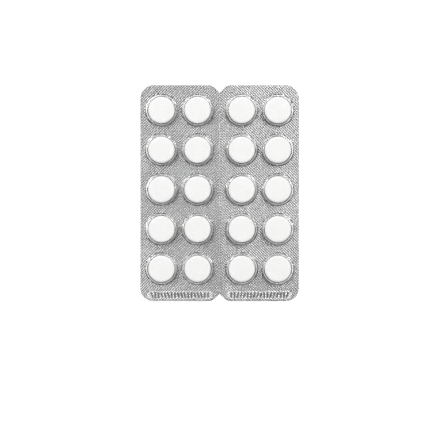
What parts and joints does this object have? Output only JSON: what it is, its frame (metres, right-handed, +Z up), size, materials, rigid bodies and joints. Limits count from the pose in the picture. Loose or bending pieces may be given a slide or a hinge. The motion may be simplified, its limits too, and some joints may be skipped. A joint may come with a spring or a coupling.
{
  "type": "pill blister pack",
  "caption": "Flat push-through blister pack: round white tablets in clear formed pockets sealed to an embossed foil, in two halves with a score line and end notches.",
  "frame": {"origin": "middle of the foil's underside, which the pack lies on", "axes": "+X across the two halves, +Y along them away from the code strips, +Z up, out of the pockets"},
  "size_m": [0.0722, 0.0984, 0.005],
  "materials": {
    "clear_film": "clear glossy formed film, finely embossed where it is sealed",
    "foil": "satin foil with a fine diamond embossing",
    "tablet": "matt pressed powder"
  },
  "bodies": {
    "root": {"blister_film": "clear_film", "lidding_foil": "foil", "tablet_r1_c1": "tablet", "tablet_r1_c2": "tablet", "tablet_r1_c3": "tablet", "tablet_r1_c4": "tablet", "tablet_r2_c1": "tablet", "tablet_r2_c2": "tablet", "tablet_r2_c3": "tablet", "tablet_r2_c4": "tablet", "tablet_r3_c1": "tablet", "tablet_r3_c2": "tablet", "tablet_r3_c3": "tablet", "tablet_r3_c4": "tablet", "tablet_r4_c1": "tablet", "tablet_r4_c2": "tablet", "tablet_r4_c3": "tablet", "tablet_r4_c4": "tablet", "tablet_r5_c1": "tablet", "tablet_r5_c2": "tablet", "tablet_r5_c3": "tablet", "tablet_r5_c4": "tablet"}
  },
  "joints": []
}
